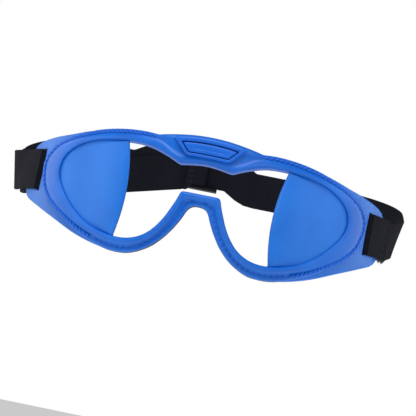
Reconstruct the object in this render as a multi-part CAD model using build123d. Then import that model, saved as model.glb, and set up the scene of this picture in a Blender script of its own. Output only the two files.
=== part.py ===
from build123d import *
import math
import os

# Wrap-round sports goggles with an elastic head strap, in millimetres.
# X runs across the face, -Y points away from the face and +Z is up.
# The origin is on the mid-plane, where the foam meets the face, at eye height.
# Every layer of the frame is a shell about one upright axis, so layers are given as radii.

FACE_AXIS_Y = 96.0          # upright axis that the frame curves about
FOAM_BACK_R = 96.0          # foam pad, face side
BASE_BACK_R = 100.0         # blue backing layer, foam side
BASE_FRONT_R = 102.0
FOAM_HALF_WIDTH = 75.5      # foam ends short of the wings
LIP_FRONT_R = 103.6         # flat stitched lip of the moulded shell
RIM_FRONT_R = 106.4         # raised rim round each eye opening
BROW_FRONT_R = 105.4        # thick part over the nose
BROW_HALF_WIDTH = 22.0
BROW_FOOT_Z = 13.0
FLANGE_BACK_R = 98.4        # rear edge of the wall inside each eye opening
FLANGE_WALL = 1.5           # thickness of that wall
RIM_WIDTH = 3.8             # width of the raised rim
LAYER_GAP = 0.1             # between pieces that lie against each other
FACET = 2.2                 # length of the short flats that make up a curved outline

PANEL_BACK_R = 103.0        # side panels that cover the outer half of each opening
PANEL_FRONT_R = 104.6

BADGE_FRONT_R = 107.6
BADGE_SEAT_R = 103.5        # bottom of the pocket that the badge sits in
BADGE_PLATE_BACK_R = 105.3
BADGE_GROOVE = 0.25         # gap round the inner plate
BADGE_TOP_HALF = 17.5       # raised plate on the brow, half widths and heights
BADGE_TOP_Z = 27.6
BADGE_FOOT_HALF = 10.2
BADGE_FOOT_Z = 19.0
BADGE_CROWN = 1.6           # rise of its curved top edge at the middle
BADGE_MARGIN = 1.9          # width of the raised surround

EDGE_WIDTH = 2.3            # whip-stitched edge band round each temple
EDGE_FRONT_R = 104.5
EDGE_INSET = 0.2            # from the lip's edge to the stitching
EDGE_STEPS = 48             # short lengths that the band is drawn with, along each edge
DASH_LENGTH = 1.7           # single stitches along the nose
DASH_PITCH = 2.9
DASH_WIDTH = 0.6
DASH_HEIGHT = 0.5
DASH_INSET = 1.3            # from the lip's edge to the row of single stitches
ROW_PITCH = 3.0             # stitches across the webbing, six to a row
ROW_COUNT = 6

WEB_WIDTH = 20.0            # elastic webbing
WEB_THICK = 1.2
SLOT_X = 80.2               # strap slot in each wing
SLOT_Z = 5.2
SLOT_HEIGHT = 21.0
SLOT_WIDTH = 2.2
SLOT_ANGLE = math.degrees(math.asin(SLOT_X / BASE_FRONT_R))
WRAP_FRONT_R = BASE_FRONT_R + 0.4
WRAP_BACK_R = BASE_BACK_R - 0.4
END_STITCH_R = WRAP_FRONT_R + WEB_THICK + 0.2
SWING_CUT_X = 90.2          # where the swinging strap starts beyond each wing
SWING_GAP = 1.2

REAR_Y = 150.6              # main strap across the back of the head
REAR_CORNER_R = 52.0
FOLD_R = 14.0
SIDE_X = 98.85              # half width of the loop just behind the wings
SIDE_LEAD_DEG = 2.0         # the sides of the loop open outwards a little
SIDE_LEAN_DEG = 11.0        # the top edge leans outwards at the temples
REAR_Z = 29.5               # strap height behind the head
REAR_HALF = 56.0
CLIMB = 118.0               # length of side run over which the strap rises to that height
CLIMB_POWER = {-1: 2.6, 1: 1.2}   # the left side stays low for longer
SLIDER_Z = 36.0             # and higher where the slider pulls it up
SLIDER_FLAT = {-1: (34.0, 50.0), 1: (5.0, 21.0)}   # level out to, and back down by
RETURN_DROP = 6.5           # the inner layer hangs lower than the main strap
RETURN_END_DROP = 3.5       # and is still a little lower where it meets the slider
RETURN_INSET = WEB_THICK + 0.6
STATION_STEP = 5.0

SLIDER_X = -8.5
SLIDER_LENGTH = 18.0
SLIDER_HALF_HEIGHT = 12.0
SLIDER_RAIL = 1.7
SLIDER_BAR = 2.4
SLIDER_BAR_THICK = 2.0
LAYER_CLEAR = 0.4           # free play between webbing and slider bars
REACH = 200.0               # longer than anything it has to cut


def save(node, shape):
    """Write one node, as one or several separate solids."""
    os.makedirs("parts", exist_ok=True)
    solids = shape.solids() if hasattr(shape, "solids") else shape
    whole = solids[0] if len(solids) == 1 else Compound(children=list(solids))
    export_step(whole, f"parts/{node}.step")
    print(f"{node}: {len(solids)} solid(s), {sum(s.volume for s in solids):.0f} mm3")


def shell(inner_r, outer_r):
    """Front half of an upright tube about the face axis."""
    tube = Cylinder(outer_r, REACH) - Cylinder(inner_r, REACH)
    front = Pos(0, -REACH / 2, 0) * Box(REACH * 2, REACH, REACH * 2)
    return Pos(0, FACE_AXIS_Y, 0) * (tube & front)


def faceted(edges):
    """Points along a chain of edges, close enough together to read as a smooth outline."""
    points = []
    for edge in edges:
        count = 1 if edge.geom_type == GeomType.LINE else math.ceil(edge.length / FACET)
        points += [edge @ (k / count) for k in range(count)]
    return points + [edges[-1] @ 1]


def whole_outline(half, growth=0.0):
    """Closed face from a right-hand half outline, grown by an amount on every side."""
    face = make_face(half + [mirror(edge, Plane.YZ) for edge in half])
    if growth:
        face = offset(face, amount=growth, kind=Kind.ARC)
    points = faceted(face.faces()[0].outer_wire().order_edges())
    return Plane.XZ * make_face(Polyline(*points[:-1], close=True))


def prism(face):
    """Front-view outline carried right through the frame from front to back."""
    return extrude(Pos(0, REACH, 0) * face, amount=REACH * 2, dir=(0, -1, 0))


def layer(face, inner_r, outer_r):
    return prism(face) & shell(inner_r, outer_r)


# ---------------------------------------------------------------- front-view outlines

def lip_outline():
    """Edge of the moulded shell: brow, temple lobes, lower lobes and nose arch."""
    brow = Spline((0, 30.3), (12.5, 29.5), (24.4, 27.5), tangents=((1, 0), (1, -0.22)))
    upper = Spline((24.4, 27.5), (36, 28.1), (50, 26.7), (63, 22.9), (73, 17.2),
                   (78.4, 9.4), tangents=((1, 0.22), (0.1, -1)))
    lower = Spline((78.4, 9.4), (76.9, -2), (68.5, -12.5), (56, -21.6), (43, -27.6),
                   (33, -29), (22.5, -26.6), (12.8, -18.4), (6.2, -8.2),
                   (4.4, -4.0), tangents=((0.1, -1), (-0.45, 1)))
    arch = Spline((4.4, -4.0), (2.2, -2.3), (0, -2.0), tangents=((-0.45, 1), (-1, 0)))
    return [brow, upper, lower, arch]


def base_outline():
    """Backing layer: as the shell, with a wing beyond each temple for the strap."""
    brow = Spline((0, 30.0), (12.5, 29.2), (24.4, 27.2), tangents=((1, 0), (1, -0.22)))
    upper = Spline((24.4, 27.2), (36, 27.8), (50, 26.7), (66, 23.3), (78, 20.8),
                   tangents=((1, 0.22), (1, -0.2)))
    tip = Spline((78, 20.8), (85.2, 18.6), (88.6, 13.0), tangents=((1, -0.2), (0.05, -1)))
    end = Line((88.6, 13.0), (88.6, -2.5))
    foot = Spline((88.6, -2.5), (86.2, -8.6), (80, -11.9), (69, -17.3), (55, -24.2),
                  (43, -27.6), (33, -28.7), (22.5, -26.3), (13.1, -18.4),
                  (6.5, -8.2), (4.6, -3.9), tangents=((0, -1), (-0.45, 1)))
    arch = Spline((4.6, -3.9), (2.3, -2.0), (0, -1.7), tangents=((-0.45, 1), (-1, 0)))
    return [brow, upper, tip, end, foot, arch]


def eye_outline():
    """Both eye openings, which join between the brow and the nose bridge."""
    brow = Spline((0, 17.1), (6, 16.6), (12.1, 15.6), tangents=((1, 0), (1, -0.22)))
    upper = Spline((12.1, 15.6), (20.5, 19.3), (31, 21.9), (43, 21.9), (56.5, 19.7),
                   (66, 14.2), (69.2, 6.2), tangents=((1, 0.55), (0, -1)))
    lower = Spline((69.2, 6.2), (65.5, -4), (54.5, -15.2), (42, -21.1), (31, -22.2),
                   (21, -18.1), (14.2, -9.2), (9.6, 2.0), tangents=((0, -1), (-0.2, 1)))
    corner = ThreePointArc((9.6, 2.0), (8.9, 3.2), (7.6, 3.6))
    bridge = Line((7.6, 3.6), (0, 3.6))
    return [brow, upper, lower, corner, bridge]


def badge_face(margin):
    """Trapezoid with a curved top, drawn in by a margin on every side."""
    slant = (BADGE_TOP_HALF - BADGE_FOOT_HALF) / (BADGE_TOP_Z - BADGE_FOOT_Z)
    side_shift = margin * math.hypot(1, slant)
    top_z = BADGE_TOP_Z - margin
    foot_z = BADGE_FOOT_Z + margin
    top_half = BADGE_TOP_HALF - side_shift - slant * margin
    foot_half = BADGE_FOOT_HALF - side_shift + slant * margin
    crown = BADGE_CROWN * (top_half / BADGE_TOP_HALF) ** 2
    top = ThreePointArc((-top_half, top_z), (0, top_z + crown), (top_half, top_z))
    foot = ThreePointArc((foot_half, foot_z), (0, foot_z + crown / 2), (-foot_half, foot_z))
    right = Line((top_half, top_z), (foot_half, foot_z))
    left = Line((-foot_half, foot_z), (-top_half, top_z))
    return make_face(Plane.XZ * (top + right + foot + left))


lip_face = whole_outline(lip_outline())
base_face = whole_outline(base_outline())
eye_face = whole_outline(eye_outline())
rim_face = whole_outline(eye_outline(), RIM_WIDTH)
flange_face = whole_outline(eye_outline(), FLANGE_WALL)
frame_hole_face = whole_outline(eye_outline(), FLANGE_WALL + LAYER_GAP)


def front_shell():
    """Moulded cover: flat lip, raised rim, thick brow and the walls inside the openings."""
    lip = layer(lip_face, BASE_FRONT_R + LAYER_GAP, LIP_FRONT_R)
    rim = layer(rim_face, BASE_FRONT_R + LAYER_GAP, RIM_FRONT_R)
    brow_window = Pos(0, 0, BROW_FOOT_Z + REACH / 2) * Box(2 * BROW_HALF_WIDTH, REACH * 2, REACH)
    brow = layer(lip_face, BASE_FRONT_R + LAYER_GAP, BROW_FRONT_R) & brow_window
    flange = layer(flange_face, FLANGE_BACK_R, LIP_FRONT_R)
    recess = layer(badge_face(0), BADGE_SEAT_R, REACH)
    return (lip + (rim & prism(lip_face)) + brow + flange) - prism(eye_face) - recess


def slot_cutter(side):
    blade = Pos(0, -(BASE_FRONT_R + BASE_BACK_R) / 2, SLOT_Z) * Box(SLOT_WIDTH, 12, SLOT_HEIGHT)
    return Pos(0, FACE_AXIS_Y, 0) * Rot(0, 0, side * SLOT_ANGLE) * blade


def base_layer():
    plate = layer(base_face, BASE_BACK_R, BASE_FRONT_R)
    hole = prism(frame_hole_face)
    return plate - hole - slot_cutter(1) - slot_cutter(-1)


def face_foam():
    """Soft pad behind the rims, held back from the wings so that the strap can pass."""
    pad = layer(base_face, FOAM_BACK_R, BASE_BACK_R - LAYER_GAP)
    hole = prism(frame_hole_face)
    between_wings = Box(2 * FOAM_HALF_WIDTH, REACH * 2, REACH)
    return (pad - hole) & between_wings


def side_panel(side):
    """Domed blind over the outer half of an eye opening, with a free, gently curved edge."""
    inner_edge = faceted([ThreePointArc((38.0, 28), (34.4, 0), (36.8, -28))])
    window = Plane.XZ * make_face(Polyline(*inner_edge, (90, -28), (90, 28), close=True))
    panel = layer(eye_face, PANEL_BACK_R, PANEL_FRONT_R) & prism(window)
    return panel if side > 0 else mirror(panel, Plane.YZ)


def badge_surround():
    ring = layer(badge_face(LAYER_GAP / 2), BADGE_SEAT_R + LAYER_GAP, BADGE_FRONT_R)
    return ring - layer(badge_face(BADGE_MARGIN), BADGE_PLATE_BACK_R - LAYER_GAP, REACH)


def badge_plate():
    face = badge_face(BADGE_MARGIN + BADGE_GROOVE)
    return layer(face, BADGE_PLATE_BACK_R, BADGE_FRONT_R - LAYER_GAP)


def inside_of(edge, at, depth):
    """Point drawn in from the lip's edge by a depth, square to that edge."""
    point = edge @ at
    way = edge % at
    return point + Vector(way.Y, -way.X) * depth


def edge_band(side):
    """Whip-stitched band on the lip, from the brow round the temple to the lower lobe."""
    temple = lip_outline()[1:3]
    upper = [(temple[0], 2 * k / EDGE_STEPS) for k in range(EDGE_STEPS // 2)]
    lower = [(temple[1], k / EDGE_STEPS) for k in range(EDGE_STEPS // 2 + 1)]
    outer = [inside_of(edge, at, EDGE_INSET) for edge, at in upper + lower]
    inner = [inside_of(edge, at, EDGE_INSET + EDGE_WIDTH) for edge, at in upper + lower]
    face = Plane.XZ * make_face(Polyline(*outer, *reversed(inner), close=True))
    band = layer(face, LIP_FRONT_R + 0.02, EDGE_FRONT_R) - layer(rim_face, 0, REACH)
    return band if side > 0 else mirror(band, Plane.YZ)


def nose_stitches():
    """Row of single stitches along the lip, round the nose arch between the two edge bands."""
    lower, arch = lip_outline()[2:4]
    rows = []
    for edge, first, last in ((lower, 0.5, 1.0), (arch, 0.0, 1.0)):
        count = round(edge.length * (last - first) / DASH_PITCH)
        rows += [(edge, first + (last - first) * (k + 0.5) / count) for k in range(count)]
    stitches = []
    for edge, at in rows:
        point = inside_of(edge, at, DASH_INSET)
        way = edge % at
        turn = math.degrees(math.atan2(way.Y, way.X))
        around = math.degrees(math.asin(point.X / LIP_FRONT_R))
        dash = Box(DASH_LENGTH, DASH_HEIGHT, DASH_WIDTH)
        on_lip = Pos(0, -(LIP_FRONT_R + 0.3), point.Y) * Rot(0, -turn, 0) * dash
        stitch = Pos(0, FACE_AXIS_Y, 0) * Rot(0, 0, around) * on_lip
        stitches += [stitch, mirror(stitch, Plane.YZ)]
    return Compound(children=[s.solids()[0] for s in stitches])


# ---------------------------------------------------------------- strap

def wing_wrap(side):
    """Webbing on the wing: over its front, through the slot and along behind it."""
    outer = (WRAP_FRONT_R, WRAP_FRONT_R + WEB_THICK)
    inner = (WRAP_BACK_R - WEB_THICK, WRAP_BACK_R)
    turn = Pos(0, FACE_AXIS_Y, 0) * Rot(0, 0, SLOT_ANGLE)
    middle_r = (outer[1] + inner[0]) / 2
    blade = turn * Pos(0, -middle_r, SLOT_Z) * Box(WEB_THICK, outer[1] - inner[0], WEB_WIDTH)
    beyond_slot = turn * Pos(50 - WEB_THICK / 2, 0, SLOT_Z) * Box(100, REACH * 2, WEB_WIDTH)
    inside_cut = Pos(SWING_CUT_X - 50, 0, 0) * Box(100, REACH * 2, REACH)
    wrap = ((shell(*outer) + shell(*inner)) & beyond_slot & inside_cut) + blade
    return wrap if side > 0 else mirror(wrap, Plane.YZ)


def end_stitches():
    """Box of stitches that closes the right-hand loop just past the wing's tip."""
    turn_at = [math.degrees(math.asin(x / END_STITCH_R)) for x in (88.9, 89.7)]
    stitches = []
    for around in turn_at:
        for k in range(ROW_COUNT):
            z = SLOT_Z + (k - (ROW_COUNT - 1) / 2) * ROW_PITCH
            dash = Pos(0, -END_STITCH_R, z) * Box(DASH_WIDTH, 0.4, DASH_LENGTH)
            stitches.append(Pos(0, FACE_AXIS_Y, 0) * Rot(0, 0, around) * dash)
    return Compound(children=[s.solids()[0] for s in stitches])


def smooth(value):
    value = min(max(value, 0.0), 1.0)
    return value * value * (3 - 2 * value)


def loop_wire(start_r, inset):
    """Plan of one side of the loop, from the wing to the middle of the back."""
    start_angle = math.asin((SWING_CUT_X + SWING_GAP) / start_r)
    start = Vector(start_r * math.sin(start_angle), FACE_AXIS_Y - start_r * math.cos(start_angle))
    side_angle = math.radians(90 - SIDE_LEAD_DEG)
    fold_r = FOLD_R - inset
    fold_reach = fold_r * (math.sin(side_angle) - math.sin(start_angle))
    leave_length = (SIDE_X - inset - start.X - fold_reach) / math.cos(start_angle)
    away = Vector(math.cos(start_angle), math.sin(start_angle))
    leave = Line(start, start + away * leave_length)
    fold_centre = leave @ 1 + Vector(-math.sin(start_angle), math.cos(start_angle)) * fold_r
    middle = (start_angle + side_angle) / 2
    fold = ThreePointArc(
        leave @ 1,
        fold_centre + Vector(math.sin(middle), -math.cos(middle)) * fold_r,
        fold_centre + Vector(math.sin(side_angle), -math.cos(side_angle)) * fold_r,
    )
    corner_r = REAR_CORNER_R - inset
    rear_y = REAR_Y - inset
    first = fold @ 1
    run = (rear_y - corner_r * (math.cos(side_angle) + 1) - first.Y) / math.sin(side_angle)
    side = Line(first, first + Vector(math.cos(side_angle), math.sin(side_angle)) * run)
    centre = side @ 1 + Vector(-math.sin(side_angle), math.cos(side_angle)) * corner_r
    half_turn = (side_angle + math.pi) / 2
    corner = ThreePointArc(
        side @ 1,
        centre + Vector(math.sin(half_turn), -math.cos(half_turn)) * corner_r,
        centre + Vector(0, corner_r),
    )
    rear = Line(corner @ 1, (0, rear_y))
    return Wire(leave.edges() + fold.edges() + side.edges() + corner.edges() + rear.edges())


def climb(travel, top, side):
    """Centre height along the side of the head, from the wing up to a top height."""
    share = math.sin(math.pi / 2 * min(travel / CLIMB, 1)) ** CLIMB_POWER[side]
    return SLOT_Z + (top - SLOT_Z) * share


def main_height(travel, x, side):
    """Centre height of the main run: it climbs along the side and is flat at the back."""
    if abs(x) > REAR_HALF:
        return climb(travel, REAR_Z, side)
    flat, edge = SLIDER_FLAT[side]
    return REAR_Z + (SLIDER_Z - REAR_Z) * smooth((edge - abs(x)) / (edge - flat))


def return_height(travel, x, side):
    """Centre height of the inner layer, which hangs lower until it nears the slider."""
    hung = REAR_Z - RETURN_DROP
    if abs(x) > REAR_HALF:
        return climb(travel, hung, side)
    level_end = abs(SLIDER_X) + SLIDER_LENGTH / 2 + 2
    fall = max(0.0, (abs(x) - level_end) / (REAR_HALF - level_end))
    end_z = SLIDER_Z - RETURN_END_DROP
    return end_z + (hung - end_z) * fall


def station(wire, along, side, height):
    """Centre point and the across-web and through-web directions at one place on the loop."""
    at = wire.position_at(along, position_mode=PositionMode.LENGTH)
    way = wire.tangent_at(along, position_mode=PositionMode.LENGTH)
    back, ahead = max(along - 0.5, 0), min(along + 0.5, wire.length)
    back_x = wire.position_at(back, position_mode=PositionMode.LENGTH).X
    ahead_x = wire.position_at(ahead, position_mode=PositionMode.LENGTH).X
    slope = math.atan((height(ahead, ahead_x, side) - height(back, back_x, side)) / (ahead - back))
    flat = Vector(way.X * side, way.Y, 0)
    outward = Vector(way.Y * side, -way.X, 0)
    up = Vector(0, 0, 1) * math.cos(slope) - flat * math.sin(slope)
    lean = math.radians(SIDE_LEAN_DEG) * smooth(along / 10) * (1 - smooth((along - 30) / 70))
    across = up * math.cos(lean) + outward * math.sin(lean)
    through = outward * math.cos(lean) - up * math.sin(lean)
    here_z = height(along, at.X, side)
    inwards = outward * (math.tan(lean) * (here_z - main_height(along, at.X, side)))
    return Vector(at.X * side, at.Y, here_z) + inwards, across, through


def ribbon(places):
    """Flat webbing lofted straight from each cross-section to the next."""
    sections = []
    for centre, across, through in places:
        a = across * (WEB_WIDTH / 2)
        t = through * (WEB_THICK / 2)
        corners = [centre - a - t, centre + a - t, centre + a + t, centre - a + t]
        sections.append(Face(Wire.make_polygon(corners)))
    return loft(sections, ruled=True)


def stations(wire, side, height, end):
    count = round(end / STATION_STEP)
    return [station(wire, end * k / count, side, height) for k in range(count + 1)]


def strap_band():
    """Main run of the webbing, from wing to wing round the back of the head."""
    left_wire = loop_wire(WRAP_FRONT_R + WEB_THICK / 2, 0)
    right_wire = loop_wire(WRAP_BACK_R - WEB_THICK / 2, 0)
    left = stations(left_wire, -1, main_height, left_wire.length)
    right = stations(right_wire, 1, main_height, right_wire.length)
    return ribbon(left + right[-2::-1])


def strap_return():
    """Inner layer on the left, from behind the wing back to the slider."""
    wire = loop_wire(WRAP_BACK_R - WEB_THICK / 2, RETURN_INSET)
    end = wire.length + SLIDER_X - SLIDER_LENGTH / 2 - 0.5
    return ribbon(stations(wire, -1, return_height, end))


# ---------------------------------------------------------------- slider

def slider_box(x_span, y_span, z_span):
    sizes = [high - low for low, high in (x_span, y_span, z_span)]
    middle = [(high + low) / 2 for low, high in (x_span, y_span, z_span)]
    return Pos(*middle) * Box(*sizes)


MAIN_OUTER_Y = REAR_Y + WEB_THICK / 2
MAIN_INNER_Y = REAR_Y - WEB_THICK / 2
SLIDER_ENDS = (SLIDER_X - SLIDER_LENGTH / 2, SLIDER_X + SLIDER_LENGTH / 2)
OUTER_BAR_Y = (MAIN_OUTER_Y + LAYER_CLEAR, MAIN_OUTER_Y + LAYER_CLEAR + SLIDER_BAR_THICK)
LOOP_REAR_Y = (MAIN_INNER_Y - LAYER_CLEAR - WEB_THICK, MAIN_INNER_Y - LAYER_CLEAR)
CENTRE_BAR_Y = (LOOP_REAR_Y[0] - LAYER_GAP - SLIDER_BAR_THICK, LOOP_REAR_Y[0] - LAYER_GAP)
LOOP_FRONT_Y = (CENTRE_BAR_Y[0] - LAYER_GAP - WEB_THICK, CENTRE_BAR_Y[0] - LAYER_GAP)


def slider():
    """Three-bar buckle: two outer bars press the main strap, the middle one holds the loop."""
    low_z = SLIDER_Z - SLIDER_HALF_HEIGHT
    high_z = SLIDER_Z + SLIDER_HALF_HEIGHT
    rail_y = (CENTRE_BAR_Y[0], OUTER_BAR_Y[1])
    body = slider_box(SLIDER_ENDS, rail_y, (low_z, low_z + SLIDER_RAIL))
    body += slider_box(SLIDER_ENDS, rail_y, (high_z - SLIDER_RAIL, high_z))
    left, right = SLIDER_ENDS
    body += slider_box((left, left + SLIDER_BAR), OUTER_BAR_Y, (low_z, high_z))
    body += slider_box((right - SLIDER_BAR, right), OUTER_BAR_Y, (low_z, high_z))
    middle = (SLIDER_X - SLIDER_BAR / 2, SLIDER_X + SLIDER_BAR / 2)
    body += slider_box(middle, CENTRE_BAR_Y, (low_z, high_z))
    return body


def slider_loop():
    """End of the webbing, folded round the middle bar and sewn back to itself."""
    web_z = (SLIDER_Z - WEB_WIDTH / 2, SLIDER_Z + WEB_WIDTH / 2)
    turn_x = SLIDER_X + SLIDER_BAR / 2 + LAYER_GAP
    span_x = (SLIDER_ENDS[0] + 0.2, turn_x + WEB_THICK)
    loop = slider_box(span_x, LOOP_FRONT_Y, web_z)
    loop += slider_box(span_x, LOOP_REAR_Y, web_z)
    loop += slider_box((turn_x, turn_x + WEB_THICK), (LOOP_FRONT_Y[0], LOOP_REAR_Y[1]), web_z)
    sewn_x = (SLIDER_ENDS[0] + 0.2, SLIDER_ENDS[0] + 4.0)
    loop += slider_box(sewn_x, (LOOP_FRONT_Y[0], LOOP_REAR_Y[1]), web_z)
    return loop


def loop_stitches():
    """Two rows of stitches through the folded end beside the slider's middle bar."""
    stitches = []
    for x in (SLIDER_ENDS[0] + 1.4, SLIDER_ENDS[0] + 3.0):
        for k in range(ROW_COUNT):
            z = SLIDER_Z + (k - (ROW_COUNT - 1) / 2) * ROW_PITCH
            stitches.append(Pos(x, LOOP_FRONT_Y[0] - 0.2, z) * Box(DASH_WIDTH, 0.4, DASH_LENGTH))
    return Compound(children=[s.solids()[0] for s in stitches])


for name, shape in {
    "front_shell": front_shell(),
    "base_layer": base_layer(),
    "face_foam": face_foam(),
    "side_panel_left": side_panel(-1),
    "side_panel_right": side_panel(1),
    "badge_surround": badge_surround(),
    "badge_plate": badge_plate(),
    "edge_stitching_left": edge_band(-1),
    "edge_stitching_right": edge_band(1),
    "nose_stitching": nose_stitches(),
    "strap_wrap_left": wing_wrap(-1),
    "strap_wrap_right": wing_wrap(1),
    "end_stitching": end_stitches(),
    "strap_band": strap_band(),
    "strap_return": strap_return(),
    "slider": slider(),
    "slider_loop": slider_loop(),
    "loop_stitching": loop_stitches(),
}.items():
    save(name, shape)
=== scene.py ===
# %% [markdown]
# Sports protective goggles
# -------------------------
# A moulded blue shell over a foam pad, two domed side panels that blinker the
# outer halves of the eye openings, and an elastic strap with a slider behind.
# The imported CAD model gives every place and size. This file builds the soft,
# rounded and stitched surfaces around it, one piece at a time.

# %% Load the frame
import bpy
import bmesh
import math
from mathutils import Matrix, Vector


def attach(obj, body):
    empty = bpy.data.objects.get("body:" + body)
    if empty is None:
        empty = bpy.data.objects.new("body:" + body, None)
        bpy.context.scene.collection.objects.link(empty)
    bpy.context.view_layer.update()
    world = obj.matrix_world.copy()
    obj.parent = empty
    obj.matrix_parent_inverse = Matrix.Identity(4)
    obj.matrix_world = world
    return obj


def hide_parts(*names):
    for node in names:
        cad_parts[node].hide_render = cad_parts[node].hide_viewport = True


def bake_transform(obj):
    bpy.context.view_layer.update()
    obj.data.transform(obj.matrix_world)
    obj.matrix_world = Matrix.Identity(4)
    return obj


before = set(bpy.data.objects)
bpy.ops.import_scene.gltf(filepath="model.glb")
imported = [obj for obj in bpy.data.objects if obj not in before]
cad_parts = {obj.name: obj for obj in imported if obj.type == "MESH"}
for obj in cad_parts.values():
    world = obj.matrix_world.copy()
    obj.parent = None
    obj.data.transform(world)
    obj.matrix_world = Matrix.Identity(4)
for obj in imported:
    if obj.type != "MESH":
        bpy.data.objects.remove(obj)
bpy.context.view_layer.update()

MM = 0.001

# %% [markdown]
# Camera
# ------
# The goggles are seen almost square on, from a little below, and turned
# clockwise. A long lens keeps the strap behind the frame nearly as large as it
# really is. The camera is built from three angles, then slid sideways, so that
# no lens shift is needed.

# %% Camera
YAW, PITCH, ROLL = (math.radians(a) for a in (2.43, -6.0, 11.55))
DISTANCE = 0.620
SENSOR_WIDTH = 36.0
FRAME_SPAN = 416                  # the frame's width, in the unit of the next two
FOCAL_SPAN = 1369.0
TARGET_OFFSET = (-8.87, 6.1)      # where the target sits, from the frame's middle
TARGET = Vector((0, -0.009, 0))


def place_camera():
    back = Vector((math.sin(YAW) * math.cos(PITCH), -math.cos(YAW) * math.cos(PITCH), math.sin(PITCH)))
    level = (-back).cross(Vector((0, 0, 1))).normalized()
    upright = level.cross(-back)
    right = level * math.cos(ROLL) + upright * math.sin(ROLL)
    up = upright * math.cos(ROLL) - level * math.sin(ROLL)
    shift = (right * TARGET_OFFSET[0] + up * TARGET_OFFSET[1]) * DISTANCE / FOCAL_SPAN
    place = TARGET + back * DISTANCE - shift
    data = bpy.data.cameras.new("camera")
    data.sensor_width = SENSOR_WIDTH
    data.lens = FOCAL_SPAN / FRAME_SPAN * SENSOR_WIDTH
    camera = bpy.data.objects.new("camera", data)
    bpy.context.scene.collection.objects.link(camera)
    rows = [list(row) + [offset] for row, offset in zip(zip(right, up, back), place)]
    camera.matrix_world = Matrix(rows + [[0, 0, 0, 1]])
    return camera


bpy.context.scene.camera = place_camera()
print("lens", round(bpy.context.scene.camera.data.lens, 1), "mm")

# %% [markdown]
# Studio
# ------
# Small satin goods are lit with large soft boxes, because a small lamp would
# leave hard sparks on the curved plastic. One box hangs above and in front,
# two stand at each side, and a smaller one stands in front, to the right. The
# rear side boxes only graze the temples, which draws a pale sheen there. A
# pale world fills the shadows. The floor is well below, since the goggles are
# held up as they are worn, and it glows a little, so that it stays pale where
# the lamps don't reach.

# %% Studio
def soft_box(name, place, aim, size, watts):
    data = bpy.data.lights.new(name, "AREA")
    data.shape = "RECTANGLE"
    data.size, data.size_y = size
    data.energy = watts
    lamp = bpy.data.objects.new(name, data)
    bpy.context.scene.collection.objects.link(lamp)
    lamp.location = place
    lamp.rotation_euler = (Vector(aim) - Vector(place)).to_track_quat("-Z", "Y").to_euler()
    return lamp


soft_box("top_box", (-0.10, -0.45, 0.75), (0, 0.02, 0), (0.60, 0.45), 7.0)
soft_box("left_box", (-0.75, -0.30, 0.15), (0, 0.02, 0), (0.40, 0.60), 1.7)
soft_box("right_box", (0.75, -0.30, 0.20), (0, 0.02, 0), (0.40, 0.60), 1.2)
soft_box("left_rim_box", (-0.60, 0.22, 0.12), (0, 0.03, 0), (0.30, 0.50), 1.3)
soft_box("right_rim_box", (0.60, 0.22, 0.16), (0, 0.03, 0), (0.30, 0.50), 1.3)
soft_box("front_box", (0.42, -0.88, 0.32), (0, 0, 0), (0.30, 0.30), 1.5)

bpy.context.scene.view_settings.view_transform = "Standard"
WORLD_GLOW = 0.10
FLOOR_SIZE, FLOOR_Z = 8, -0.35
world = bpy.data.worlds.new("studio")
bpy.context.scene.world = world
world.use_nodes = True
background = world.node_tree.nodes["Background"]
background.inputs["Color"].default_value = (1, 1, 1, 1)
ray = world.node_tree.nodes.new("ShaderNodeLightPath")
glow = world.node_tree.nodes.new("ShaderNodeMapRange")
glow.inputs["To Min"].default_value = WORLD_GLOW
glow.inputs["To Max"].default_value = 1.0
world.node_tree.links.new(ray.outputs["Is Camera Ray"], glow.inputs["Value"])
world.node_tree.links.new(glow.outputs["Result"], background.inputs["Strength"])

bpy.ops.object.select_all(action="DESELECT")
bpy.ops.mesh.primitive_plane_add(size=FLOOR_SIZE, location=(0, 0, FLOOR_Z))
floor = bpy.context.object
floor.name = "floor"

# %% [markdown]
# Shader arithmetic
# -----------------
# A node tree is a formula. This class wraps one socket, so that a formula can
# be written with plus, minus and times, and each sign adds its Math node.
# Every other node comes from one method that takes its type, its settings and
# its inputs.

# %% Shader arithmetic
class Wire:
    """One output socket, with arithmetic."""

    def __init__(self, tree, socket):
        self.tree, self.socket = tree, socket

    def node(self, kind, settings=None, out=0, **inputs):
        made = self.tree.nodes.new("ShaderNode" + kind)
        for key, value in (settings or {}).items():
            setattr(made, key, value)
        for key, value in inputs.items():
            slot = int(key[1:]) if key[1:].isdigit() else key.replace("_", " ")
            if isinstance(value, Wire):
                self.tree.links.new(value.socket, made.inputs[slot])
            else:
                made.inputs[slot].default_value = value
        return Wire(self.tree, made.outputs[out])

    def math(self, operation, other, swap=False):
        first, second = (other, self) if swap else (self, other)
        return self.node("Math", {"operation": operation}, i0=first, i1=second)

    def __add__(self, other):
        return self.math("ADD", other)

    def __sub__(self, other):
        return self.math("SUBTRACT", other)

    def __rsub__(self, other):
        return self.math("SUBTRACT", other, swap=True)

    def __mul__(self, other):
        return self.math("MULTIPLY", other)

    __radd__, __rmul__ = __add__, __mul__

    def clear(self, low, high):
        """0 below low, 1 above high, smooth between."""
        return self.node("MapRange", {"interpolation_type": "SMOOTHSTEP"}, Value=self, i1=low, i2=high)

    def wave(self, per_metre):
        """A sine of this value, from 0 to 1."""
        return (self * (2 * math.pi * per_metre)).math("SINE", 0.0) * 0.5 + 0.5

    def tint(self, dark, light):
        """A colour between two, by this value."""
        return self.node("Mix", {"data_type": "RGBA"}, 2, i0=self, i6=(*dark, 1), i7=(*light, 1))


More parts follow.
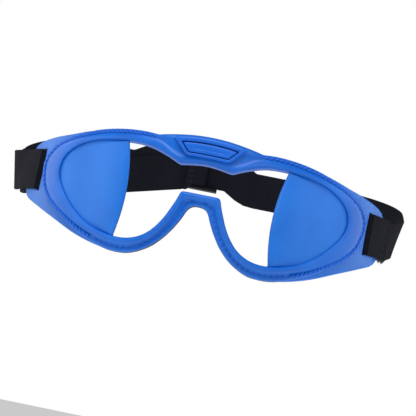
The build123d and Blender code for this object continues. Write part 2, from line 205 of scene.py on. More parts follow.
def new_finish(name, **fixed):
    """A material with its fixed shader values, and a wire of Object coordinates."""
    finish = bpy.data.materials.new(name)
    finish.use_nodes = True
    tree = finish.node_tree
    shader = tree.nodes["Principled BSDF"]
    for key, value in fixed.items():
        shader.inputs[key.replace("_", " ")].default_value = value
    place = tree.nodes.new("ShaderNodeTexCoord")
    return finish, shader, Wire(tree, place.outputs["Object"])


def feed(shader, height, depth, strength, **values):
    """Joins varying values to the shader, and a height to its normal."""
    for key, value in values.items():
        value.tree.links.new(value.socket, shader.inputs[key.replace("_", " ")])
    bump = height.node("Bump", Height=height, Distance=depth, Strength=strength)
    bump.tree.links.new(bump.socket, shader.inputs["Normal"])


print("shader helpers ready")

# %% [markdown]
# Blue soft plastic
# -----------------
# The shell is a soft moulded plastic with a satin face. A mould leaves a very
# fine spark grain, the colour is nearly even, and handling polishes it in
# faint patches. Noise at three scales gives the patches and the grain. The
# same recipe serves the shell, the panels, the badge and the backing layer,
# each a shade apart.

# %% Blue soft plastic
def blue_plastic(name, deep, bright, rough, grain):
    finish, shader, place = new_finish(name, Specular_IOR_Level=0.34)
    patches = place.node("TexNoise", Vector=place, Scale=55.0, Detail=3.0)
    spark = place.node("TexNoise", Vector=place, Scale=2600.0, Detail=2.0)
    soft = place.node("TexNoise", Vector=place, Scale=420.0, Detail=2.0)
    shade = patches.clear(0.30, 0.72) * 0.8 + soft * 0.2
    feed(shader, spark * 0.6 + soft * 0.4, 0.00004, grain,
         Base_Color=shade.tint(deep, bright),
         Roughness=patches * 0.10 + spark * 0.05 + rough)
    return finish


shell_blue = blue_plastic("blue_shell", (0.0015, 0.104, 0.51), (0.003, 0.135, 0.61), 0.32, 0.35)
panel_blue = blue_plastic("blue_panel", (0.004, 0.132, 0.57), (0.007, 0.162, 0.65), 0.30, 0.22)
badge_blue = blue_plastic("blue_badge", (0.002, 0.110, 0.56), (0.004, 0.138, 0.66), 0.36, 0.45)
base_blue = blue_plastic("blue_base", (0.006, 0.128, 0.54), (0.012, 0.160, 0.64), 0.36, 0.45)
print("plastic finishes", [f.name for f in (shell_blue, panel_blue, badge_blue, base_blue)])

# %% [markdown]
# Thread, foam, webbing and buckle
# --------------------------------
# The stitches are a twisted thread, so a fine slanted wave runs over them. The
# foam has a matte black skin with small pores. Elastic webbing is woven: ribs
# run across it, and rows of warp run along it. Both follow the strap, so each
# strap piece carries two measures on its points, how far along and how far
# across, and the weave reads those.

# %% Thread, foam, webbing and buckle
def thread(name, deep, bright):
    finish, shader, place = new_finish(name, Specular_IOR_Level=0.3)
    x, y, z = (place.node("SeparateXYZ", None, k, Vector=place) for k in range(3))
    twist = (x + z * 0.8 + y * 0.5).wave(2400.0)
    fuzz = place.node("TexNoise", Vector=place, Scale=3000.0, Detail=2.0)
    feed(shader, twist * 0.7 + fuzz * 0.3, 0.00008, 0.6,
         Base_Color=(twist * 0.6 + fuzz * 0.4).tint(deep, bright), Roughness=fuzz * 0.2 + 0.55)
    return finish


def foam_skin():
    finish, shader, place = new_finish("black_foam", Specular_IOR_Level=0.25, Sheen_Weight=0.15)
    pores = place.node("TexVoronoi", Vector=place, Scale=1300.0)
    clouds = place.node("TexNoise", Vector=place, Scale=160.0, Detail=3.0)
    feed(shader, pores * 0.7 + clouds * 0.3, 0.00015, 0.7,
         Base_Color=(pores * 0.5 + clouds * 0.5).tint((0.004, 0.004, 0.005), (0.018, 0.018, 0.021)),
         Roughness=clouds * 0.15 + 0.78)
    return finish


RIBS_PER_METRE = 1150.0
ROWS_PER_METRE = 900.0


def webbing():
    finish, shader, place = new_finish("black_webbing", Specular_IOR_Level=0.14)
    along = place.node("Attribute", {"attribute_name": "along"}, 2)
    across = place.node("Attribute", {"attribute_name": "across"}, 2)
    weave = along.wave(RIBS_PER_METRE) * 0.6 + across.wave(ROWS_PER_METRE) * 0.4
    fuzz = place.node("TexNoise", Vector=place, Scale=1900.0, Detail=3.0)
    worn = place.node("TexNoise", Vector=place, Scale=70.0, Detail=2.0)
    shade = weave * 0.45 + fuzz * 0.25 + worn.clear(0.35, 0.75) * 0.3
    feed(shader, weave * 0.8 + fuzz * 0.2, 0.00025, 0.75,
         Base_Color=shade.tint((0.0004, 0.0006, 0.002), (0.0045, 0.0055, 0.013)),
         Roughness=fuzz * 0.2 + 0.70)
    return finish


def buckle_plastic():
    finish, shader, place = new_finish("black_buckle", Specular_IOR_Level=0.15)
    grain = place.node("TexNoise", Vector=place, Scale=1800.0, Detail=2.0)
    scuff = place.node("TexNoise", Vector=place, Scale=240.0, Detail=4.0)
    feed(shader, grain, 0.00005, 0.4,
         Base_Color=scuff.clear(0.55, 0.8).tint((0.002, 0.002, 0.003), (0.008, 0.008, 0.010)),
         Roughness=scuff * 0.25 + 0.38)
    return finish


def pale_floor():
    finish, shader, place = new_finish("studio_floor", Emission_Color=(1, 1, 1, 1),
                                       Emission_Strength=0.50)
    mottle = place.node("TexNoise", Vector=place, Scale=6.0, Detail=3.0)
    feed(shader, mottle, 0.001, 0.1,
         Base_Color=mottle.tint((0.80, 0.80, 0.80), (0.86, 0.86, 0.86)), Roughness=mottle * 0.1 + 0.8)
    return finish


blue_thread = thread("blue_thread", (0.003, 0.085, 0.50), (0.010, 0.150, 0.72))
black_thread = thread("black_thread", (0.001, 0.001, 0.002), (0.005, 0.005, 0.008))
foam_black, web_black, buckle_black = foam_skin(), webbing(), buckle_plastic()
floor.data.materials.append(pale_floor())
print("soft finishes ready")

# %% [markdown]
# Rings
# -----
# Most pieces here are a closed line of points carried along: the shell is the
# outline of both eyes stepped outwards over its cross-section, and the strap
# is a small flat oval stepped along its path. By hand that is one circle, then
# extrude and move, over and over. One helper does it: it adds a circle,
# extrudes its edge once for each ring, and sets the new points down.

# %% Rings
def only(piece=None):
    """Deselects everything, then selects this piece."""
    bpy.ops.object.select_all(action="DESELECT")
    if piece:
        piece.select_set(True)
        bpy.context.view_layer.objects.active = piece


def modify(piece, kind, **settings):
    """Adds one modifier and applies it at once."""
    only(piece)
    made = piece.modifiers.new(kind.lower(), kind)
    for key, value in settings.items():
        setattr(made, key, value)
    bpy.ops.object.modifier_apply(modifier=made.name)
    return piece


def extrude_ring(piece, current, ring):
    """Extrudes the selected ring of edges and puts its points at the next ring."""
    bpy.ops.mesh.extrude_edges_indiv()
    body = bmesh.from_edit_mesh(piece.data)
    body.verts.ensure_lookup_table()
    fresh = []
    for index, point in zip(current, ring):
        old = body.verts[index]
        new = next(e.other_vert(old) for e in old.link_edges if e.other_vert(old).select)
        new.co = Vector(point) * MM
        fresh.append(new)
    body.verts.index_update()
    return [v.index for v in fresh]


def select_points(piece, wanted):
    """Selects edges whose two ends are both wanted, in edit mode."""
    body = bmesh.from_edit_mesh(piece.data)
    bpy.ops.mesh.select_all(action="DESELECT")
    for edge in body.edges:
        edge.select_set(edge.verts[0].index in wanted and edge.verts[1].index in wanted)
    bmesh.update_edit_mesh(piece.data)


def ring_piece(name, rings, closed, measures=None):
    """Extrudes a circle through rings of points in mm. closed joins the last ring to the first."""
    only()
    size = len(rings[0])
    bpy.ops.mesh.primitive_circle_add(vertices=size, radius=0.01, fill_type="NOTHING")
    piece = bpy.context.object
    piece.name = piece.data.name = name
    bpy.ops.object.mode_set(mode="EDIT")
    bpy.ops.mesh.select_mode(type="EDGE")
    bpy.ops.mesh.select_all(action="SELECT")
    body = bmesh.from_edit_mesh(piece.data)
    body.verts.ensure_lookup_table()
    for vert, point in zip(body.verts, rings[0]):
        vert.co = Vector(point) * MM
    order = [list(range(size))]
    for ring in rings[1:]:
        order.append(extrude_ring(piece, order[-1], ring))
    if closed:
        select_points(piece, set(order[0] + order[-1]))
        bpy.ops.mesh.bridge_edge_loops()
    else:
        for end in (order[0], order[-1]):
            select_points(piece, set(end))
            bpy.ops.mesh.edge_face_add()
    bpy.ops.mesh.select_all(action="SELECT")
    bpy.ops.mesh.normals_make_consistent(inside=False)
    bpy.ops.object.mode_set(mode="OBJECT")
    for tag, values in (measures or {}).items():
        layer = piece.data.attributes.new(tag, "FLOAT", "POINT")
        for indices, row in zip(order, values):
            for index, value in zip(indices, row):
                layer.data[index].value = value * MM
    return piece


def dress(piece, finish, angle=180):
    """Smooth shading and finish for a finished piece."""
    only(piece)
    bpy.ops.object.transform_apply(location=True, rotation=True, scale=True)
    bpy.ops.object.shade_smooth_by_angle(angle=math.radians(angle))
    piece.data.materials.clear()
    piece.data.materials.append(finish)
    print(piece.name, len(piece.data.vertices), "points")
    return piece


print("ring helper ready")

# %% [markdown]
# The two outlines
# ----------------
# Seen from in front, the frame is one band round both eyes: an inner edge, the
# eye opening, and an outer edge, the lip of the moulding. Each line below pairs
# a place on the inner edge with the place straight out from it on the shell's
# edge and on the backing layer's edge, down the right half from the brow to
# the nose. The left half is their mirror. Smooth curves run through them,
# except at the two corners of the brow, which stay sharp.

# %% The two outlines
FACE_AXIS_Y = 96.0
#        eye opening     shell edge      backing edge
PLACES = [
    ((0.0, 17.1), (0.0, 30.3), (0.0, 30.0)),
    ((6.0, 16.6), (8.0, 30.0), (8.0, 29.7)),
    ((12.1, 15.6), (15.5, 29.1), (15.5, 28.8)),
    ((16.5, 17.7), (21.0, 28.2), (21.0, 27.9)),
    ((20.5, 19.3), (24.4, 27.5), (24.4, 27.2)),
    ((26.0, 21.1), (28.5, 27.9), (28.5, 27.6)),
    ((31.0, 21.9), (33.0, 28.1), (33.0, 27.8)),
    ((38.0, 22.2), (40.0, 27.9), (40.0, 27.7)),
    ((45.0, 21.8), (48.0, 27.0), (48.5, 26.9)),
    ((52.0, 20.8), (56.0, 25.3), (58.0, 25.3)),
    ((58.5, 18.9), (64.0, 22.4), (68.0, 23.0)),
    ((64.0, 15.8), (70.5, 19.0), (77.5, 21.0)),
    ((67.8, 11.6), (75.5, 14.9), (86.3, 17.4)),
    ((69.2, 6.2), (78.4, 9.0), (88.6, 9.0)),
    ((68.3, 0.8), (77.9, 2.0), (88.6, 0.0)),
    ((65.5, -4.0), (75.6, -4.6), (86.6, -7.8)),
    ((60.5, -10.0), (70.5, -10.9), (79.0, -12.5)),
    ((54.5, -15.2), (63.5, -16.6), (67.5, -18.2)),
    ((48.5, -18.8), (56.0, -21.6), (57.0, -23.2)),
    ((42.0, -21.1), (48.0, -25.6), (48.0, -26.3)),
    ((36.5, -22.1), (40.5, -28.1), (40.5, -28.0)),
    ((31.0, -22.2), (33.5, -29.0), (33.5, -28.7)),
    ((25.7, -20.9), (27.0, -28.3), (27.0, -28.0)),
    ((21.0, -18.1), (20.5, -25.3), (20.6, -25.0)),
    ((17.2, -14.0), (15.5, -21.3), (15.6, -21.0)),
    ((14.2, -9.2), (11.6, -16.8), (11.8, -16.5)),
    ((12.1, -4.6), (8.6, -12.2), (8.8, -11.9)),
    ((10.4, -0.5), (6.5, -8.2), (6.7, -7.9)),
    ((9.6, 2.0), (5.2, -5.2), (5.4, -4.9)),
    ((8.9, 3.2), (4.2, -3.6), (4.4, -3.3)),
    ((7.6, 3.6), (3.2, -2.7), (3.3, -2.4)),
    ((4.0, 3.6), (1.8, -2.15), (1.8, -1.85)),
    ((0.0, 3.6), (0.0, -2.0), (0.0, -1.7)),
]
BROW_CORNER, SHELL_CORNER = 2, 4
STEPS = 3


def across_middle(point):
    """A front-view place on the other half."""
    return Vector((-point.x, point.y))


def flow(points, corner):
    """A smooth line through points, sharp at one of them, with STEPS parts between each two."""
    points = [Vector(p) for p in points]
    padded = [across_middle(points[1])] + points + [across_middle(points[-2])]
    line = []
    for k in range(len(points) - 1):
        before, start, end, after = padded[k:k + 4]
        if k == corner:
            before = start * 2 - end
        if k + 1 == corner:
            after = end * 2 - start
        for step in range(STEPS):
            t = step / STEPS
            line.append(0.5 * (2 * start + (end - before) * t
                               + (2 * before - 5 * start + 4 * end - after) * t ** 2
                               + (3 * start - before - 3 * end + after) * t ** 3))
    return line + [points[-1]]


eye_line = flow([p[0] for p in PLACES], BROW_CORNER)
shell_line = flow([p[1] for p in PLACES], SHELL_CORNER)
base_line = flow([p[2] for p in PLACES], SHELL_CORNER)
HALF = len(eye_line)


def wrap(x, z, r):
    """The point of a front-view place on the upright shell of radius r."""
    return (x, FACE_AXIS_Y - math.sqrt(r * r - x * x), z)


def smooth(value):
    """0 to 1, eased at both ends."""
    value = min(max(value, 0.0), 1.0)
    return value * value * (3 - 2 * value)


def between(stops, place):
    """The entries of the two stops round a place, and the eased share from one to the other."""
    for (start, *first), (end, *second) in zip(stops, stops[1:]):
        if place <= end:
            break
    return first, second, smooth((place - start) / (end - start))


def both_halves(right):
    """Right half, then its mirror back up the left."""
    return right + [(-x, y, z) for x, y, z in right[-2:0:-1]]


def band_rings(inner, outer, profile):
    """Rings of the band between two lines. profile(k, width) lists (distance out, radius)."""
    columns = []
    for k, (near, far) in enumerate(zip(inner, outer)):
        width = (far - near).length
        way = (far - near) / width
        columns.append([wrap(*(near + way * d), r) for d, r in profile(k / STEPS, width)])
    return [both_halves(list(row)) for row in zip(*columns)]


print("places round the band", 2 * HALF - 2)

# %% [markdown]
# Front shell
# -----------
# The shell is one soft moulding. Its cross-section changes on the way round: a
# thick brow with a hollow above its lower roll, a sloping band with a stitch
# channel along the top and round the temples, and a round tube with a groove
# under the eyes and over the nose. Each cross-section is drawn once, with the
# same number of points, and neighbours are mixed where one turns into another.
# A point is (distance from the eye edge, share of the width, radius).

# %% Front shell
WALL_AND_BACK = [(0.0, 1.0, 102.15), (-0.8, 1.0, 102.12), (1.7, 0.0, 102.12), (1.5, 0.0, 100.5)]
INNER_WALL = [(1.4, 0.0, 98.6), (0.3, 0.0, 98.4), (0.0, 0.0, 98.9), (0.0, 0.0, 102.0)]
TUBE = INNER_WALL + [
    (0.0, 0.0, 104.5), (0.35, 0.0, 105.4), (0.0, 0.17, 106.1), (0.0, 0.29, 106.2),
    (0.0, 0.42, 105.7), (0.0, 0.52, 104.7), (0.0, 0.59, 103.9), (0.0, 0.66, 103.6),
    (0.0, 0.75, 103.7), (0.0, 0.86, 103.95), (-0.5, 1.0, 103.8), (-0.1, 1.0, 103.3), (0.0, 1.0, 102.8),
] + WALL_AND_BACK
BAND = INNER_WALL + [
    (0.0, 0.0, 104.3), (0.3, 0.0, 105.0), (0.0, 0.12, 105.45), (0.0, 0.20, 105.5),
    (-3.0, 1.0, 105.0), (-2.6, 1.0, 104.5), (-2.1, 1.0, 104.15), (-1.2, 1.0, 104.1),
    (-0.7, 1.0, 104.35), (-0.4, 1.0, 104.3), (-0.1, 1.0, 103.9), (0.0, 1.0, 103.3), (0.0, 1.0, 102.8),
] + WALL_AND_BACK
TEMPLE = INNER_WALL + [
    (0.0, 0.0, 104.2), (0.3, 0.0, 104.75), (0.0, 0.10, 105.0), (0.0, 0.20, 105.05),
    (0.0, 0.45, 104.95), (-1.9, 1.0, 104.75), (-1.5, 1.0, 104.45), (-0.9, 1.0, 104.2),
    (-0.2, 1.0, 104.15), (0.3, 1.0, 104.3), (0.6, 1.0, 104.1), (0.8, 1.0, 103.5), (0.9, 1.0, 102.7),
] + WALL_AND_BACK
BROW = INNER_WALL + [
    (0.0, 0.0, 104.4), (0.4, 0.0, 105.4), (1.3, 0.0, 106.05), (2.4, 0.0, 106.1),
    (3.6, 0.0, 105.7), (5.0, 0.0, 105.3), (0.0, 0.50, 105.2), (0.0, 0.68, 105.35),
    (-2.8, 1.0, 105.6), (-1.6, 1.0, 105.55), (-0.7, 1.0, 105.0), (-0.15, 1.0, 104.0), (0.0, 1.0, 103.0),
] + WALL_AND_BACK
#      place, and the cross-section there
SECTIONS = [
    (0, BROW), (2.6, BROW), (5.2, BAND), (9, BAND),
    (12, TEMPLE), (15.5, TEMPLE), (19.5, TUBE), (32, TUBE),
]


def shell_profile(place, width):
    """The two nearest cross-sections mixed, at this width."""
    (first,), (second,), share = between(SECTIONS, place)
    mixed = [[p + (q - p) * share for p, q in zip(a, b)] for a, b in zip(first, second)]
    return [(near + part * width, r) for near, part, r in mixed]


front_shell = ring_piece("front_shell_moulding", band_rings(eye_line, shell_line, shell_profile), True)
modify(front_shell, "SUBSURF", levels=1, render_levels=1)
dress(front_shell, shell_blue)
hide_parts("front_shell")
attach(front_shell, "frame")

# %% [markdown]
# Backing layer
# -------------
# Behind the shell lies a flat blue layer, which grows a wing at each temple.
# The wing has rounded edges and an upright slot for the strap. It is stepped
# out as the shell is, from the wall of the eye opening to its own edge, and
# the slots are cut with a tall block, as a die would cut them.

# %% Backing layer
BASE_BACK_R, BASE_FRONT_R = 100.1, 102.0
BASE_SECTION = [
    (1.7, 0.0, BASE_BACK_R), (1.65, 0.0, BASE_FRONT_R - 0.2), (1.9, 0.0, BASE_FRONT_R),
    (0.0, 0.6, BASE_FRONT_R), (-0.9, 1.0, BASE_FRONT_R), (-0.35, 1.0, BASE_FRONT_R - 0.15),
    (0.0, 1.0, BASE_FRONT_R - 0.6), (0.0, 1.0, BASE_BACK_R + 0.5), (-0.35, 1.0, BASE_BACK_R + 0.1),
    (-0.9, 1.0, BASE_BACK_R), (0.0, 0.6, BASE_BACK_R),
]
SLOT_X, SLOT_Z, SLOT_SIZE = 80.2, 5.2, (2.2, 12.0, 21.0)
SLOT_ANGLE = math.asin(SLOT_X / BASE_FRONT_R)


def same_all_round(section):
    """A profile that keeps one cross-section at every place."""
    return lambda place, width: [(near + part * width, r) for near, part, r in section]


def cut_slot(piece, side):
    """Takes one upright slot out of a wing."""
    only()
    middle_r = (BASE_BACK_R + BASE_FRONT_R) / 2
    place = wrap(side * middle_r * math.sin(SLOT_ANGLE), SLOT_Z, middle_r)
    bpy.ops.mesh.primitive_cube_add(size=1, location=Vector(place) * MM, scale=Vector(SLOT_SIZE) * MM,
                                    rotation=(0, 0, side * SLOT_ANGLE))
    blade = bpy.context.object
    modify(piece, "BOOLEAN", object=blade, operation="DIFFERENCE", solver="EXACT")
    bpy.data.objects.remove(blade)


base_rings = band_rings(eye_line, base_line, same_all_round(BASE_SECTION))
base_layer = ring_piece("backing_layer", base_rings, True)
for side in (-1, 1):
    cut_slot(base_layer, side)
dress(base_layer, base_blue, 35)
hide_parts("base_layer")
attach(base_layer, "frame")

# %% [markdown]
# Foam pad
# --------
# The pad that rests on the face is soft closed foam, cut to the same band and
# crowned towards the face. It stops short of the wings, so that the strap can
# pass behind them. Its edges pull in where they are glued and swell between,
# and small dents come from cutting and handling.

# %% Foam pad
FOAM_HALF_WIDTH, FOAM_EASE_X = 75.3, 64.0      # where it ends, and from where it draws in
FOAM_SECTION = [
    (2.1, 0.0, 99.9), (1.75, 0.0, 99.3), (1.75, 0.0, 98.0), (2.1, 0.0, 96.9), (0.4, 0.35, 96.15),
    (0.0, 0.52, 96.0), (-0.4, 0.70, 96.1), (-0.7, 1.0, 96.7), (0.0, 1.0, 97.7), (0.0, 1.0, 98.9),
    (-0.5, 1.0, 99.9), (0.0, 0.6, 99.9),
]


def foam_edge(point):
    """The shell's edge, drawn in so that the pad ends short of the wings."""
    over = max(0.0, point.x - FOAM_EASE_X)
    reach = FOAM_HALF_WIDTH - FOAM_EASE_X
    return Vector((min(point.x, FOAM_EASE_X) + reach * math.tanh(over / reach), point.y))


foam_line = [foam_edge(p) for p in shell_line]
face_foam = ring_piece("face_pad", band_rings(eye_line, foam_line, same_all_round(FOAM_SECTION)), True)
modify(face_foam, "SUBSURF", levels=1, render_levels=1)
dents = bpy.data.textures.new("foam_dents", "CLOUDS")
dents.noise_scale = 0.006
modify(face_foam, "DISPLACE", texture=dents, texture_coords="LOCAL", strength=0.00025, mid_level=0.6)
dress(face_foam, foam_black)
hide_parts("face_foam")
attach(face_foam, "frame")

# %% [markdown]
# Side panels
# -----------
# A domed blind covers the outer half of each eye opening. It follows the oval
# of the opening and ends in a free edge that bows towards the nose. A grid is
# laid with one side on that free edge and the other on the oval, swelled into
# a dome, and then given an even thickness and rounded edges.

# %% Side panels
PANEL_ROWS, PANEL_COLUMNS = 34, 26
PANEL_EDGE_R, PANEL_DOME, PANEL_THICK = 104.0, 1.9, 1.3
PANEL_HALF_HEIGHT = 26.0
FREE_EDGE_X, FREE_EDGE_BOW, FREE_EDGE_HALF, FREE_EDGE_LEAN = 34.4, 3.3, 24.0, 0.030
TOP_CORNER_X, FOOT_CORNER_X = 37.6, 36.4          # where the free edge meets the oval
NEARER_BROW = 9                                   # places before this one are on the brow
RIM_OVERLAP, RIM_OVERLAP_FROM = 0.35, 0.9         # how far, and from where, the rim is passed


def free_edge_x(z):
    """The free edge bows inwards, and leans a little at the top."""
    return FREE_EDGE_X + FREE_EDGE_BOW * (z / FREE_EDGE_HALF) ** 2 + FREE_EDGE_LEAN * z


def oval_between(share):
    """A point on the oval, from the top of the free edge round the temple to its foot."""
    first = min(range(HALF // 2), key=lambda k: abs(eye_line[k].x - TOP_CORNER_X) + 5 * (k < NEARER_BROW))
    last = min(range(HALF // 2, HALF), key=lambda k: abs(eye_line[k].x - FOOT_CORNER_X))
    at = first + (last - first) * share
    low = min(int(at), HALF - 2)
    return eye_line[low].lerp(eye_line[low + 1], at - low)


def panel_point(side, u, v):
    """u runs from the free edge to the oval, v from top to bottom."""
    far = oval_between(v)
    top, foot = oval_between(0.0), oval_between(1.0)
    z = top.y + (foot.y - top.y) * (0.5 - 0.5 * math.cos(math.pi * v))
    near = Vector((free_edge_x(z), z))
    place = near.lerp(far, u ** 0.9)
    out = (far - Vector((50, 0))).normalized()
    place = place + out * RIM_OVERLAP * smooth((u - RIM_OVERLAP_FROM) / (1 - RIM_OVERLAP_FROM))
    fall = smooth(u) * 0.55 + 0.45 * u * u
    height = 1 - (place.y / PANEL_HALF_HEIGHT) ** 2
    rise = PANEL_DOME * (1 - fall) * max(height, 0.0) ** 0.8
    return wrap(side * place.x, place.y, PANEL_EDGE_R + rise)


def side_panel(side):
    only()
    bpy.ops.mesh.primitive_grid_add(x_subdivisions=PANEL_COLUMNS, y_subdivisions=PANEL_ROWS, size=1)
    panel = bpy.context.object
    panel.name = panel.data.name = "side_blind_" + ("left" if side < 0 else "right")
    for vert in panel.data.vertices:
        u, v = vert.co.x + 0.5, vert.co.y + 0.5
        vert.co = Vector(panel_point(side, u, v)) * MM
    if panel.data.polygons[len(panel.data.polygons) // 2].normal.y > 0:
        bpy.ops.object.mode_set(mode="EDIT")
        bpy.ops.mesh.select_all(action="SELECT")
        bpy.ops.mesh.flip_normals()
        bpy.ops.object.mode_set(mode="OBJECT")
    modify(panel, "SOLIDIFY", thickness=PANEL_THICK * MM, offset=-1.0, use_even_offset=True)
    modify(panel, "BEVEL", width=0.35 * MM, segments=2, limit_method="ANGLE", angle_limit=math.radians(50))
    dress(panel, panel_blue, 60)
    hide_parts("side_panel_left" if side < 0 else "side_panel_right")
    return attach(panel, "frame")


side_panels = [side_panel(side) for side in (-1, 1)]

# %% [markdown]
# Brow badge
# ----------
# A raised plate sits on the brow: a rounded surround, a fine groove, and an
# inner plate, all following a trapezoid with a bowed top. It is left blank.
# The trapezoid is stepped in by a margin for each ring, so the surround and
# the plate stay parallel all the way round.

# %% Brow badge
BADGE_TOP = (17.5, 27.6)
BADGE_FOOT = (10.2, 19.0)
BADGE_CROWN = 1.6
CORNER_CUT = 0.9
BADGE_COUNTS = (20, 8, 12, 8)


def badge_ring(margin, r):
    """The trapezoid drawn in by a margin, as points on the shell of radius r."""
    slant = (BADGE_TOP[0] - BADGE_FOOT[0]) / (BADGE_TOP[1] - BADGE_FOOT[1])
    shift = margin * math.hypot(1, slant)
    top = Vector((BADGE_TOP[0] - shift - slant * margin, BADGE_TOP[1] - margin))
    foot = Vector((BADGE_FOOT[0] - shift + slant * margin, BADGE_FOOT[1] + margin))
    corners = [Vector((-top.x, top.y)), top, foot, Vector((-foot.x, foot.y))]
    cut = CORNER_CUT * max(0.25, 1 - margin / 4)
    points = []
    for k, count in enumerate(BADGE_COUNTS):
        start, end = corners[k], corners[(k + 1) % 4]
        length = (end - start).length
        trim = min(cut / length, 0.3)
        for step in range(count):
            place = start.lerp(end, trim + (1 - 2 * trim) * step / (count - 1))
            lift = BADGE_CROWN * (top.x / BADGE_TOP[0]) ** 2 * (1 - (place.x / top.x) ** 2)
            share = (place.y - foot.y) / (top.y - foot.y)
            points.append(wrap(place.x, place.y + lift * (0.5 + 0.5 * share), r))
    return points


SURROUND = [(0.3, 104.0), (0.0, 104.9), (0.05, 106.6), (0.3, 107.25), (0.8, 107.5), (1.5, 107.5),
            (1.65, 107.3), (1.85, 106.8), (1.9, 105.6), (1.4, 104.6)]
PLATE = [(2.25, 105.4), (2.2, 106.7), (2.3, 107.1), (2.55, 107.3), (3.2, 107.36), (4.1, 107.4)]
badge_surround = ring_piece("brow_surround", [badge_ring(m, r) for m, r in SURROUND], True)
badge_plate = ring_piece("brow_plate", [badge_ring(m, r) for m, r in PLATE], False)
for piece, node in ((badge_surround, "badge_surround"), (badge_plate, "badge_plate")):
    modify(piece, "SUBSURF", levels=1, render_levels=1)
    dress(piece, badge_blue, 50)
    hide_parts(node)
    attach(piece, "frame")

# %% [markdown]
# Stitches
# --------
# Every stitch is the same short length of thread, thick in the middle and
# tucked in at both ends. It is modelled once from a sphere, then copied along
# each seam, turned to the seam's slant. The whip stitch along the brow and the
# temples lies slantwise, so that neighbours overlap like a rope. The nose has
# single stitches, end to end.

# %% Stitches
def thread_stitch(length, thick):
    """One stitch, lying along X, with Z out of the cloth."""
    only()
    bpy.ops.mesh.primitive_uv_sphere_add(segments=8, ring_count=7, radius=0.5 * MM,
                                         rotation=(0, math.pi / 2, 0))
    one = bpy.context.object
    bpy.ops.object.transform_apply(location=True, rotation=True, scale=True)
    bpy.ops.object.mode_set(mode="EDIT")
    bpy.ops.mesh.select_all(action="SELECT")
    bpy.ops.transform.resize(value=(length, thick, thick * 0.8))
    bpy.ops.object.mode_set(mode="OBJECT")
    for vert in one.data.vertices:
        vert.co.z -= thick * 0.45 * MM * (2 * vert.co.x / (length * MM)) ** 2
    return one


def sew(name, one, places, finish, node, body):
    """Copies one stitch to every (point, along, outward) and joins the copies."""
    copies = []
    for point, along, out in places:
        side = out.cross(along).normalized()
        turn = Matrix((along, side, out)).transposed().to_4x4()
        piece = one.copy()
        piece.data = one.data.copy()
        piece.data.transform(Matrix.Translation(Vector(point) * MM) @ turn)
        bpy.context.scene.collection.objects.link(piece)
        copies.append(piece)
    only(copies[0])
    for piece in copies:
        piece.select_set(True)
    bpy.ops.object.join()
    seam = bpy.context.object
    seam.name = seam.data.name = name
    dress(seam, finish)
    if node:
        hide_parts(node)
    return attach(seam, body)


def outward_at(point):
    """Straight out of the upright shell at a point on it."""
    return (point - Vector((0, FACE_AXIS_Y, point.z))).normalized()


def seam_places(seat, pitch, slant):
    """Even places along the shell's edge, drawn in and raised as the seat says, on the right half."""
    line = []
    for k in range(int(seat[0][0] * STEPS), int(seat[-1][0] * STEPS) + 1):
        first, second, share = between(seat, k / STEPS)
        inset, r = (p + (q - p) * share for p, q in zip(first, second))
        way = (eye_line[k] - shell_line[k]).normalized()
        line.append(Vector(wrap(*(shell_line[k] + way * inset), r)))
    places, carried = [], 0.0
    for start, end in zip(line, line[1:]):
        run = (end - start).length
        while carried < run:
            point = start.lerp(end, carried / run)
            out = outward_at(point)
            along = Matrix.Rotation(slant, 3, out) @ (end - start).normalized()
            along = (along - out * along.dot(out)).normalized()
            places.append((point, along, out))
            carried += pitch
        carried -= run
    return places


def mirrored(places):
    """The same places on the left, with the slant mirrored too."""
    flip = Vector((-1, 1, 1))
    return [(p * flip, a * flip, o * flip) for p, a, o in places]


rope_stitch = thread_stitch(3.5, 1.15)
#            place, distance in from the edge, radius
ROPE_SEAT = [(4.3, 1.5, 104.45), (9.0, 1.5, 104.45), (12.0, 0.5, 104.5), (15.5, 0.5, 104.5),
             (17.5, 1.2, 104.35), (19.3, 1.9, 104.15)]
right_rope = seam_places(ROPE_SEAT, 2.45, math.radians(24))
sew("whip_stitch_right", rope_stitch, right_rope, blue_thread,
    "edge_stitching_right", "frame")
sew("whip_stitch_left", rope_stitch, mirrored(right_rope), blue_thread,
    "edge_stitching_left", "frame")
bpy.data.objects.remove(rope_stitch)

single_stitch = thread_stitch(2.1, 0.62)
right_row = seam_places([(19.6, 2.0, 103.95), (31.9, 2.0, 103.95)], 2.9, 0.0)
sew("nose_stitch", single_stitch, right_row + mirrored(right_row), blue_thread,
    "nose_stitching", "frame")

# %% [markdown]
# The strap's path
# ----------------
# Seen from above, each side of the strap leaves the wing straight, folds
# backwards, runs along the head and rounds the corner to the middle of the
# back. The same radii and lengths as in the CAD model give its path here. The
# height climbs along the side, and the band leans outwards at the temples.

# %% The strap's path
FRONT_LAYER_R, BACK_LAYER_R = 103.0, 99.0
START_X = 91.4
REAR_Y, REAR_CORNER_R, FOLD_R, SIDE_X = 150.6, 52.0, 14.0, 98.85
SIDE_ANGLE = math.radians(88.0)
SIDE_LEAN = math.radians(11.0)
REAR_Z, REAR_HALF, CLIMB, SLIDER_Z = 29.5, 56.0, 118.0, 36.0
SLIDER_FLAT = {-1: (34.0, 50.0), 1: (5.0, 21.0)}  # by side: level out to, and back down by
CLIMB_POWER = {-1: 2.6, 1: 1.2}
RETURN_DROP, RETURN_END_DROP, RETURN_INSET = 6.5, 3.5, 1.8
LEVEL_END = 19.5
BEND_R, SLOT_MIDDLE_R = 0.9, 101.0
LEAN_REACHED, LEAN_HELD, LEAN_FADE = 10.0, 30.0, 70.0
LOOK = 0.5                                        # how far ahead and behind a slope is read


def heading(angle):
    """The direction at an angle, seen from above."""
    return Vector((math.cos(angle), math.sin(angle)))


def left_of(angle):
    """The direction a quarter turn to the left of an angle."""
    return Vector((-math.sin(angle), math.cos(angle)))


